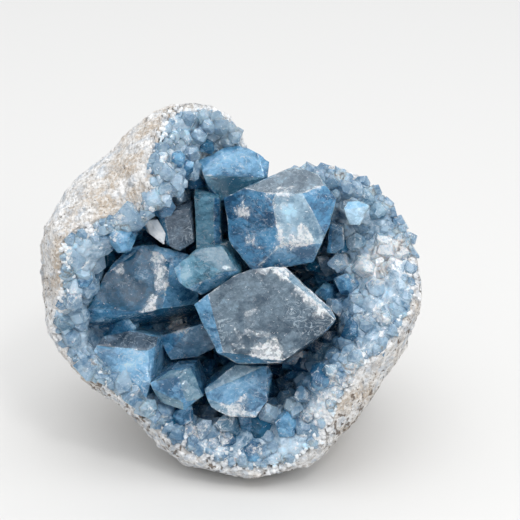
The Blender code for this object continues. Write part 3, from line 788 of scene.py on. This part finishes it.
def cut_crystal(normals, reach):
    """The block that is left behind a set of flat faces, each given by its normal and how far out it
    is: its corners are where three faces meet and that no other face cuts off. Returns the corners,
    each face as its corners in order round its normal, and which of the given faces each one is.
    """
    threes = np.array(list(itertools.combinations(range(len(normals)), 3)))
    threes = threes[np.abs(np.linalg.det(normals[threes])) > 1e-4]
    meet = np.linalg.solve(normals[threes], reach[threes][..., None])[..., 0]
    corners = meet[(meet @ normals.T <= reach + 1e-6).all(1)]
    corners = np.unique(corners.round(4), axis=0)
    faces, cuts = [], []
    for cut, (normal, far) in enumerate(zip(normals, reach)):
        on = np.flatnonzero(np.abs(corners @ normal - far) < 1e-3)
        if len(on) < 3:
            continue
        arm = corners[on] - corners[on].mean(0)
        across = arm[0] / np.linalg.norm(arm[0])
        turn = np.arctan2(arm @ np.cross(normal, across), arm @ across)
        faces.append(on[np.argsort(turn)].tolist())
        cuts.append(cut)
    return corners, faces, cuts


def fine_faces(corners, faces, cuts, step):
    """Flat faces cut finely, so that they can be worn: each is a fan of slices from its middle, and
    each slice is rows of small triangles. Returns the points, triangles, each triangle's cut, how far
    each point is from the nearest edge, and the way it faces.
    """
    longest = max(np.linalg.norm(np.roll(corners[f], -1, 0) - corners[f], axis=1).max() for f in faces)
    count = int(np.clip(longest / step, 4, 26))
    row, column = np.array([(r, c) for r in range(count + 1) for c in range(r + 1)]).T
    out, side = row / count, column / np.maximum(row, 1)
    start = row * (row + 1) // 2 + column
    inner = row < count
    below = start[inner] + row[inner] + 1
    upward = np.stack([start[inner], below, below + 1], -1)
    mid = inner & (column < row)
    below = start[mid] + row[mid] + 1
    downward = np.stack([start[mid], below + 1, start[mid] + 1], -1)
    pattern = np.concatenate([upward, downward])
    points, triangles, of_cut, from_edge, facing, made = [], [], [], [], [], 0
    for face, cut in zip(faces, cuts):
        ring = corners[face]
        middle = ring.mean(0)
        normal = np.cross(ring[0] - middle, ring[1] - middle)
        for a, b in zip(ring, np.roll(ring, -1, 0)):
            grid = middle + out[:, None] * ((a - middle) + side[:, None] * (b - a))
            reach = np.linalg.norm(np.cross(b - a, middle - a)) / np.linalg.norm(b - a)
            points.append(grid)
            triangles.append(pattern + made)
            of_cut.append(np.full(len(pattern), cut))
            from_edge.append(reach * (1 - out))
            facing.append(np.tile(normal / np.linalg.norm(normal), (len(grid), 1)))
            made += len(grid)
    points, triangles, of_cut = (np.concatenate(parts) for parts in (points, triangles, of_cut))
    shared, first, number = np.unique(points.round(3), axis=0, return_index=True, return_inverse=True)
    number = number.ravel()
    nearest, way = np.full(len(shared), 1e3), np.zeros((len(shared), 3))
    np.minimum.at(nearest, number, np.concatenate(from_edge))
    np.add.at(way, number, np.concatenate(facing))
    triangles = number[triangles]
    whole = (triangles != np.roll(triangles, -1, 1)).all(1)
    return points[first], triangles[whole], of_cut[whole], nearest, unit(way)


def great_crystal(name, face, height, lean, root, spread, facets, finish):
    """A crystal's main face, its sides back to the root, and its lesser facets, chipped at the edges."""
    upright = np.array([0, 0, 1.0])
    middle = seen_on_plane(np.mean(face, axis=0), height * upright, upright)
    facing = np.array([-lean[0], -lean[1], 1])
    front = seen_on_plane(face, middle, facing)
    facing /= np.linalg.norm(facing)
    centre = front.mean(axis=0)
    back = centre + np.array(root) + (front - centre) * spread
    following = np.roll(front, -1, 0)
    sides = unit(np.cross(following - front, back - front))
    sides *= np.sign(np.sum(sides * (front - centre + following - centre), 1))[:, None]
    normals = [facing, -facing, *sides]
    reach = [facing @ centre, -facing @ back[0], *np.sum(sides * front, 1)]
    for looks, tilt, start, _ in facets:
        looks, tilt = math.radians(looks), math.radians(tilt)
        way = np.array([math.cos(looks), math.sin(looks), 0])
        way -= facing * (way @ facing)
        normal = facing * math.cos(tilt) + way / np.linalg.norm(way) * math.sin(tilt)
        normals.append(normal)
        reach.append(normal @ (centre + way * start))
    block = cut_crystal(np.array(normals), np.array(reach))
    points, triangles, of_cut, from_edge, way = fine_faces(*block, FACE_STEP)
    worn = np.exp(-from_edge / WEAR_REACH)
    chips = worn * np.maximum(grain(points, 5, 2, 80) + 0.1, 0) * 1.6
    points = points + way * (0.35 * grain(points, 9, 3, 81) - chips - 0.15 * worn)[:, None]
    finishes = [FINISHES_AND_SHADES[finish]] + [FINISHES_AND_SHADES[facet[3]] for facet in facets]
    piece = mesh_piece(name, in_room(points), triangles.tolist(), "crystal_crust", *finishes)
    of_facet = of_cut - (len(normals) - len(facets)) + 1
    piece.data.polygons.foreach_set("material_index", np.where(of_facet > 0, of_facet, 0))
    piece.data.set_sharp_from_angle(angle=SHARP_EDGE)
    # Chalky whitening near the edges: partly wear, partly a painted highlight along them
    paint(piece, points, chalk=0.75 * worn)
    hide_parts("crystal_crust")


for name, shape in GREAT_CRYSTALS.items():
    great_crystal(name, **shape)


# The small crystals: stubby blocks with blunt ends, from sugar grains at the rock's rim to thumb
# tips on the hollow's wall. They cover the crust in crowds, and each stands in it by its foot.
# The known ones, by finish: u and v as seen, radius, and height above the crust
KNOBS = {
    "glass": (
        (-15, 92, 4.0, 5), (-8, 91, 4.0, 5), (-1, 88, 4.5, 6), (1, 82, 4.5, 7), (-4, 77, 4.0, 8),
        (-6, 84, 4.5, 9), (50, 56, 4.5, 7), (57, 52, 5.0, 7), (66, -16, 4.0, 6), (31, -56, 5.0, 7),
    ),
    "ice": (
        (-31, 56, 5.5, 8), (-27, 50, 4.5, 7), (-79, -3, 5.0, 6), (-80, -22, 4.5, 4), (-68, 10, 4.0, 6),
        (-46, 36, 4.0, 6), (-22, 88, 4.5, 6), (-12, 84, 4.5, 7), (-17, 79, 4.5, 7), (-24, 78, 4.5, 6),
        (-21, 71, 4.5, 7), (-18, 64, 4.0, 8), (-33, 61, 4.0, 5), (44, 60, 4.5, 6), (64, 54, 4.5, 5),
        (52, 49, 4.0, 7), (56, 15, 6.0, 16), (50, 9, 6.5, 24), (72, 3, 5.5, 6), (43, 14, 5.0, 28),
        (56, -7, 5.5, 16), (53, 20, 5.0, 18), (62, -4, 5.0, 8), (52, -30, 4.5, 7), (38, -60, 4.0, 5),
        (-22, -66, 5.5, 4), (-12, -64, 5.0, 4), (36, -50, 4.5, 7), (-35, -59, 6.0, 10), (-13, -61, 6.5, 13),
        (18, -60, 5.5, 12),
    ),
    "mid": (
        (-55, 29, 7.5, 9), (-74, 7, 5.0, 6), (-28, 68, 4.5, 5), (-24, 62, 4.5, 7), (58, 5, 6.0, 12),
        (52, 1, 6.0, 24), (60, -19, 6.0, 8), (44, -42, 6.0, 8), (27, -65, 6.5, 7), (-4, -31, 5.0, 12),
        (-2, -71, 6.5, 4), (12, -78, 6.0, 3), (-25, -62, 6.0, 12), (9, -65, 6.0, 12),
    ),
    "pale": (
        (-50, 42, 6.0, 7), (-84, -14, 5.0, 4), (70, 49, 4.5, 5), (75, 43, 5.0, 5), (62, 27, 5.5, 8),
        (66, 14, 6.0, 7), (76, 26, 5.0, 5), (76, -12, 4.5, 5), (-44, -58, 4.5, 3), (50, -38, 4.5, 6),
        (-1, -66, 6.0, 12),
    ),
    "slate": (
        (-62, 18, 5.0, 7), (-71, -2, 4.5, 7), (-13, 75, 4.0, 7), (56, 25, 5.5, 14), (47, 17, 5.5, 26),
        (14, -66, 6.0, 6), (-14, -33, 6.5, 12), (-31, -62, 7.0, 4),
    ),
}
FINISHES_AND_SHADES["ice"] = crystal_material("icy crystal", (0.46, 0.62, 0.76), (0.13, 0.27, 0.42), clear=0.3,
                                   chalk=0.45, roughness=0.15)
FINISHES_AND_SHADES["sugar"] = crystal_material("sugar grains", (0.84, 0.84, 0.84), (0.50, 0.52, 0.55), clear=0.0,
                                     milky=0, chalk=0.5, roughness=0.5)
FINISHES_AND_SHADES["glass"] = crystal_material("glassy crystal", (0.58, 0.74, 0.86), (0.20, 0.37, 0.53), clear=0.5,
                                     veils=0.3, chalk=0.2, roughness=0.05)
# How many stubby shapes there are, and how finely the worn ones are cut, for a crystal one unit across
STUB_COUNT, STUB_STEP = 24, 0.2
# A place in front of the mouth, that the hollow's wall and the band face
ABOVE_MOUTH = np.array([0, 0, 40.0])


def stubby_shape(random):
    """A stubby crystal one unit across, standing on z: four to six sides that draw in, a shoulder of
    steeper faces and a blunt end.
    """
    sides, ends = random.choice([4, 5, 6]), random.choice([4, 5])
    turn = (np.arange(sides) + random.uniform(-0.25, 0.25, sides)) * 2 * math.pi / sides
    side = np.stack([np.cos(turn), np.sin(turn), random.uniform(0.0, 0.3, sides)], -1)
    turn = (np.arange(ends) + random.uniform(-0.35, 0.35, ends)) * 2 * math.pi / ends
    tilt = np.radians(random.uniform(32, 62, ends))
    end = np.stack([np.cos(turn) * np.sin(tilt), np.sin(turn) * np.sin(tilt), np.cos(tilt)], -1)
    top = np.array([random.uniform(-0.3, 0.3), random.uniform(-0.3, 0.3), 1])
    normals = np.concatenate([side, end, [top, [0, 0, -1]]])
    reach = np.concatenate([random.uniform(0.75, 1.0, sides), random.uniform(0.75, 1.0, ends),
                            random.uniform(0.75, 1.0, 1), [0.8]])
    return cut_crystal(normals, reach)[:2]


# Each shape is its points, faces, how far each point is from an edge, and the way the point faces.
# The crowds' shapes stay sharp, and those that the known crystals take are cut finely and worn.
SHAPES, WORN_SHAPES = [], []
for seed in range(STUB_COUNT):
    corners, sides = stubby_shape(np.random.RandomState(seed))
    SHAPES.append((corners, sides, np.full(len(corners), 9.0), 0 * corners))
    points, triangles, _, from_edge, way = fine_faces(corners, sides, range(len(sides)), STUB_STEP)
    WORN_SHAPES.append((points, triangles.tolist(), from_edge, way))


def standing(axes, random):
    """Turns that stand z along each axis, with a chance turn about it: columns across, beside, axis."""
    axes = unit(axes)
    across = unit(np.cross(axes, random.normal(size=axes.shape)))
    return np.stack([across, np.cross(axes, across), axes], -1)


def crowd(name, shapes, feet, axes, widths, heights, shades, finish, random):
    """Many small crystals in one mesh, each one of the shapes, turned to its axis and set on its foot."""
    turns, which = standing(axes, random), random.randint(0, len(shapes), len(feet))
    points, faces, shade, worn, start = [], [], [], [], 0
    for number, (corners, sides, from_edge, way) in enumerate(shapes):
        mine = np.flatnonzero(which == number)
        sizes = np.stack([widths[mine], widths[mine], heights[mine]], -1)
        placed = np.einsum("nij,nkj->nki", turns[mine], corners * sizes[:, None]) + feet[mine][:, None]
        near = np.exp(-from_edge * widths[mine][:, None] / 0.9)
        chips = near * np.maximum(grain(placed, 4, 2, 85) + 0.15, 0) * 1.1 - 0.3 * grain(placed, 6, 2, 86)
        outward = np.einsum("nij,kj->nki", turns[mine], way)
        points.append((placed - outward * chips[..., None]).reshape(-1, 3))
        shade.append(np.repeat(shades[mine], len(corners)))
        worn.append(near.ravel())
        copies = np.arange(len(mine)) * len(corners) + start
        faces += [[k + first for k in side] for first in copies.tolist() for side in sides]
        start += len(mine) * len(corners)
    points = np.concatenate(points)
    piece = mesh_piece(name, in_room(points), faces, "crystal_crust", FINISHES_AND_SHADES[finish])
    piece.data.set_sharp_from_angle(angle=SHARP_EDGE)
    # Whitening near the edges, partly chalky wear and partly a painted highlight along them
    paint(piece, points, np.concatenate(shade), 0.1 + 0.5 * np.concatenate(worn))
    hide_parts("crystal_crust")


def strewn(surface, low, high, count, seed, sector=(0, 360)):
    """Chance places on a surface of angle and share, with the way the surface faces at each."""
    random = np.random.RandomState(seed)
    angle = np.radians(random.uniform(*sector, count))
    share = np.sqrt(random.uniform(low**2, high**2, count))
    feet = surface(angle, share)
    around, along = surface(angle + STEP, share) - feet, surface(angle, share + STEP) - feet
    outward = np.cross(around, along)
    outward *= np.sign(np.sum(outward * (ABOVE_MOUTH - feet), -1, keepdims=True))
    return feet, unit(outward), share, random


def cover(name, surface, low, high, count, width, tall, finish, seed, shade=(0.0, 0.0), sector=(0, 360)):
    """A crowd strewn over part of a surface: widths from a range, heights by width, and a shade that
    runs from low to high.
    """
    feet, outward, share, random = strewn(surface, low, high, count, seed, sector)
    widths = random.uniform(*width, count) * random.uniform(0.75, 1.0, count)
    axes = outward + random.normal(0, 0.28, (count, 3))
    shades = shade[0] + (shade[1] - shade[0]) * (share - low) / (high - low) + random.normal(0, 0.16, count)
    return crowd(name, SHAPES, feet - outward * widths[:, None] * 0.25, axes, widths,
                 widths * random.uniform(0.8, tall, count), shades, finish, random)


def rim(angle, share):
    """Over the joint between the rock's rim and the crust: from the skin's edge to the crust's face."""
    start = skin(angle, np.radians(round_mouth(CURL, angle)))
    end = band(angle, np.full(len(angle), 0.12))
    return start + (end - start) * share[:, None]


# Each crowd: its surface, and from where to where on it; how many; widths, and height by width at
# most; finish; seed
cover("rim_sugar", rim, 0.0, 1.0, 800, (0.7, 1.6), 0.8, "sugar", 71, shade=(0.0, 0.4))
cover("rim_crystals", rim, 0.5, 1.0, 150, (1.8, 4.2), 0.9, "ice", 78, shade=(-0.1, 0.2))
cover("band_sugar", band, 0.02, 0.5, 150, (0.7, 1.5), 1.0, "white", 72, shade=(0.3, 0.1))
cover("band_druse", band, 0.25, 1.0, 170, (3.0, 6.0), 1.2, "ice", 73, shade=(0.2, -0.2))
cover("horn_druse", band, 0.05, 0.9, 70, (2.4, 4.0), 1.3, "glass", 76, sector=(84, 120))
cover("edge_crystals", rim, 0.0, 0.9, 80, (3.0, 5.5), 0.9, "ice", 77, shade=(0.0, 0.1), sector=(12, 78))
# The crowds in the hollow run darker further down: painted shade
cover("wall_druse", hollow, 0.6, 1.0, 200, (3.5, 6.5), 1.5, "ice", 74, shade=(-0.8, 0.1))
cover("deep_druse", hollow, 0.1, 0.7, 260, (4.0, 8.0), 3.0, "deep", 75, shade=(-0.4, 0.0))


def in_mouth(vectors):
    """Directions of the room turned into the mouth frame."""
    x, y, z = vectors.T
    v = y * math.sin(MOUTH_TILT) + z * math.cos(MOUTH_TILT)
    return np.stack([x, v, z * math.sin(MOUTH_TILT) - y * math.cos(MOUTH_TILT)], -1)


# Each known crystal stands where the eye sees the crust, or nearer the middle if it hangs over that
eye = in_room(EYE)
random = np.random.RandomState(9)
for finish, places in KNOBS.items():
    known = np.array(places)
    feet, outward = [], []
    for u, v in known[:, :2]:
        for inward in np.arange(1.0, 0.5, -0.03):
            sight = in_room(np.array([u * inward, v * inward, 0.0])) - eye
            found, place, facing, _ = crust.ray_cast(eye.tolist(), sight.tolist())
            if found:
                break
        feet.append(np.array(place))
        outward.append(np.array(facing))
    feet = in_mouth(np.array(feet) / MM - (STAND_RIGHT, STAND_BACK, SEAT_LIFT))
    axes = in_mouth(np.array(outward)) + (0, 0, 0.9) + random.uniform(-0.2, 0.2, feet.shape)
    crowd(f"knobs_{finish}", WORN_SHAPES, feet, axes, known[:, 2], known[:, 3],
          random.normal(0, 0.15, len(known)), finish, random)


# The floor, the light and the view: a pale seamless table under a big soft lamp, in a light room,
# seen from straight in front of the tipped mouth.
STONE_MIDDLE = np.array([0, 0, 0.08])
FLOOR_REACH = 8
floor_paint, _, shader = new_material("pale floor")
shader["Base Color"].default_value = (0.69, 0.683, 0.672, 1)
shader["Roughness"].default_value = 0.8
shader["Specular IOR Level"].default_value = 0.1
floor_mesh = bpy.data.meshes.new("floor")
corners = [(x * FLOOR_REACH, y * FLOOR_REACH, 0) for x, y in ((-1, -1), (1, -1), (1, 1), (-1, 1))]
floor_mesh.from_pydata(corners, [], [(0, 1, 2, 3)])
floor_mesh.materials.append(floor_paint)
floor = in_scene("floor", floor_mesh)
floor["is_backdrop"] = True


def lamp(name, place, size, watts):
    """A soft square lamp at a place, turned to the stone's middle."""
    light = bpy.data.lights.new(name, "AREA")
    light.shape, light.size, light.energy = "SQUARE", size, watts
    thing = in_scene(name, light)
    thing.location = place
    x, y, z = STONE_MIDDLE - place
    thing.rotation_euler = (math.atan2(math.hypot(x, y), -z), 0, math.atan2(-x, y))


lamp("overhead lamp", (0.05, -0.45, 2.8), 2.2, 23)
lamp("front lamp", (0.9, -1.4, 1.0), 0.7, 4)
lamp("small bright lamp", (0.5, -0.9, 1.5), 0.3, 4.5)

world = bpy.data.worlds.new("room")
bpy.context.scene.world = world
world.use_nodes = True
sky = world.node_tree
way = node(sky, "ShaderNodeTexCoord").outputs["Generated"]
climb = node(sky, "ShaderNodeSeparateXYZ", {"Vector": way}).outputs["Z"]
background = sky.nodes["Background"].inputs
background["Color"].default_value = (0.97, 0.985, 1.0, 1)
sky.links.new(between(sky, climb, -0.1, 0.85, 0.33, 1.18), background["Strength"])
bpy.context.scene.view_settings.view_transform = "Standard"

# The view takes in this width at the mouth, in millimetres
VIEW_WIDTH = 260
camera_data = bpy.data.cameras.new("view")
camera_data.sensor_width = 36
camera_data.lens = camera_data.sensor_width * EYE[2] / VIEW_WIDTH
camera = in_scene("view", camera_data)
camera.location = in_room(EYE)
camera.rotation_euler = (QUARTER - MOUTH_TILT, 0, 0)
bpy.context.scene.camera = camera
